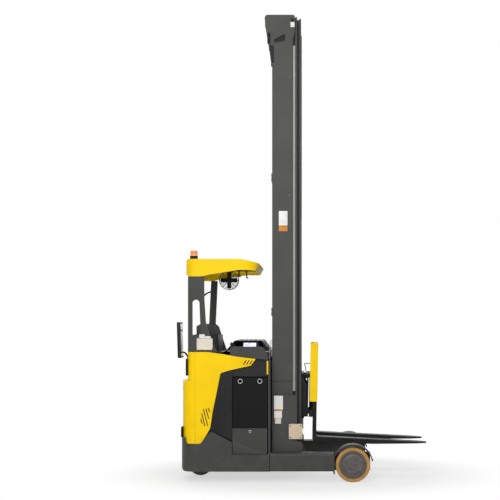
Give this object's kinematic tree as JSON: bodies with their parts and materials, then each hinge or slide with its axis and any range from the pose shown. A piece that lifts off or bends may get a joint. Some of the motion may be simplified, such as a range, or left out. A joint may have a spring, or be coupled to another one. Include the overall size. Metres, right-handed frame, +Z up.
{
  "type": "electric stand-on reach truck with triplex mast",
  "caption": "Stand-on electric reach truck: straddle arms, side battery, driver's place with overhead guard, nested three-stage mast on a reach carriage, tilting side-shift forks.",
  "frame": {"origin": "on the floor, under the middle of the truck's box", "axes": "+X to the fork tips, +Y to the driver's left side of the truck, +Z up"},
  "size_m": [2.6296, 1.27, 4.829],
  "materials": {
    "grey_paint": "satin dark grey paint",
    "mast_paint": "satin dark grey paint, rolled steel below",
    "yellow_paint": "gloss yellow paint",
    "black_paint": "satin black paint",
    "black_plastic": "fine-grained black plastic",
    "battery_black": "black coated tray",
    "tyre_amber": "amber polyurethane",
    "drive_tyre": "black polyurethane",
    "rim_steel": "dark painted casting",
    "bright_steel": "chromed rod",
    "chain_steel": "oiled leaf chain",
    "nylon": "beige cast nylon",
    "pad_vinyl": "black grained vinyl over foam",
    "rubber_mat": "ribbed rubber",
    "screen": "lit display glass",
    "beacon_orange": "orange moulded lens",
    "mirror_black": "black mirror housing"
  },
  "bodies": {
    "chassis": {"chassis_base": "grey_paint", "drive_motor": "black_paint", "platform_floor": "grey_paint", "floor_mat": "rubber_mat", "battery": "battery_black", "battery_lock_right": "grey_paint", "battery_lock_left": "grey_paint", "side_panel_right": "yellow_paint", "side_infill_right": "black_plastic", "side_panel_left": "black_plastic", "rear_cover": "yellow_paint", "housing_wall": "black_plastic", "backrest_pad": "pad_vinyl", "upper_housing": "black_plastic", "console_hood": "black_plastic", "console_side_panel": "grey_paint", "display": "screen", "guard_frame": "yellow_paint", "guard_bars": "black_paint", "guard_pillar_right": "grey_paint", "guard_post_left": "grey_paint", "beacon_base": "black_plastic", "beacon_lens": "beacon_orange", "fan_cage": "black_plastic", "rear_mirror": "mirror_black", "wheel_arm_right": "grey_paint", "wheel_arm_left": "grey_paint", "load_fender_right": "grey_paint", "load_fender_left": "grey_paint", "reach_cylinder": "black_paint"},
    "drive_unit": {"drive_gearbox": "black_paint"},
    "drive_wheel": {"drive_tyre": "drive_tyre", "drive_hub": "rim_steel"},
    "load_wheel_right": {"load_tyre_right": "tyre_amber", "load_rim_right": "rim_steel"},
    "load_wheel_left": {"load_tyre_left": "tyre_amber", "load_rim_left": "rim_steel"},
    "steering": {"steering_wheel": "black_plastic"},
    "fan": {"fan_rotor": "black_plastic"},
    "reach_frame": {"reach_carriage": "mast_paint", "reach_rollers": "rim_steel", "guide_blocks": "nylon", "reach_rod": "bright_steel", "outer_mast": "mast_paint", "mast_head": "mast_paint", "lift_barrels": "black_paint"},
    "middle_stage": {"middle_mast": "mast_paint", "lift_rods": "bright_steel"},
    "inner_stage": {"inner_mast": "mast_paint", "free_lift_barrel": "black_paint"},
    "free_lift": {"free_lift_head": "bright_steel", "free_lift_chain": "chain_steel"},
    "fork_carriage": {"lift_carriage": "black_paint"},
    "fork_tilt_frame": {"tilt_frame": "black_paint"},
    "side_shift": {"shift_frame": "black_paint", "load_backrest": "yellow_paint", "fork_right": "black_paint", "fork_left": "black_paint"}
  },
  "joints": [
    {"name": "drive_steer", "type": "hinge", "parent": "chassis", "child": "drive_unit", "pos_m": [-1.086, -0.11, 0.127], "axis": [0, 0, 1], "range_deg": [-90, 90]},
    {"name": "drive_roll", "type": "hinge", "parent": "drive_unit", "child": "drive_wheel", "pos_m": [-1.086, -0.11, 0.127], "axis": [0, 1, 0], "continuous": true},
    {"name": "load_roll_right", "type": "hinge", "parent": "chassis", "child": "load_wheel_right", "pos_m": [0.523, -0.577, 0.1775], "axis": [0, 1, 0], "continuous": true},
    {"name": "load_roll_left", "type": "hinge", "parent": "chassis", "child": "load_wheel_left", "pos_m": [0.523, 0.577, 0.1775], "axis": [0, 1, 0], "continuous": true},
    {"name": "steering_turn", "type": "hinge", "parent": "chassis", "child": "steering", "pos_m": [-0.85, 0.33, 1.285], "axis": [0, 0, 1], "continuous": true},
    {"name": "fan_spin", "type": "hinge", "parent": "chassis", "child": "fan", "pos_m": [-0.785, -0.1, 2.085], "axis": [0, 1, 0], "continuous": true},
    {"name": "mast_reach", "type": "slide", "parent": "chassis", "child": "reach_frame", "axis": [1, 0, 0], "range_m": [0, 0.56]},
    {"name": "mast_lift", "type": "slide", "parent": "reach_frame", "child": "middle_stage", "axis": [0, 0, 1], "range_m": [0, 3.6]},
    {"name": "inner_lift", "type": "slide", "parent": "middle_stage", "child": "inner_stage", "axis": [0, 0, 1], "range_m": [0, 3.6]},
    {"name": "fork_lift", "type": "slide", "parent": "inner_stage", "child": "fork_carriage", "axis": [0, 0, 1], "range_m": [-0.31, 3.3]},
    {"name": "free_lift_rise", "type": "slide", "parent": "inner_stage", "child": "free_lift", "axis": [0, 0, 1], "range_m": [-0.155, 1.65]},
    {"name": "fork_tilt", "type": "hinge", "parent": "fork_carriage", "child": "fork_tilt_frame", "pos_m": [0.042, 0, 1.06], "axis": [0, 1, 0], "range_deg": [-4, 1]},
    {"name": "fork_side_shift", "type": "slide", "parent": "fork_tilt_frame", "child": "side_shift", "axis": [0, 1, 0], "range_m": [-0.07, 0.07]}
  ],
  "couplings": [
    {"joint": "inner_lift", "follows": "mast_lift", "ratio": 1},
    {"joint": "free_lift_rise", "follows": "fork_lift", "ratio": 0.5}
  ]
}
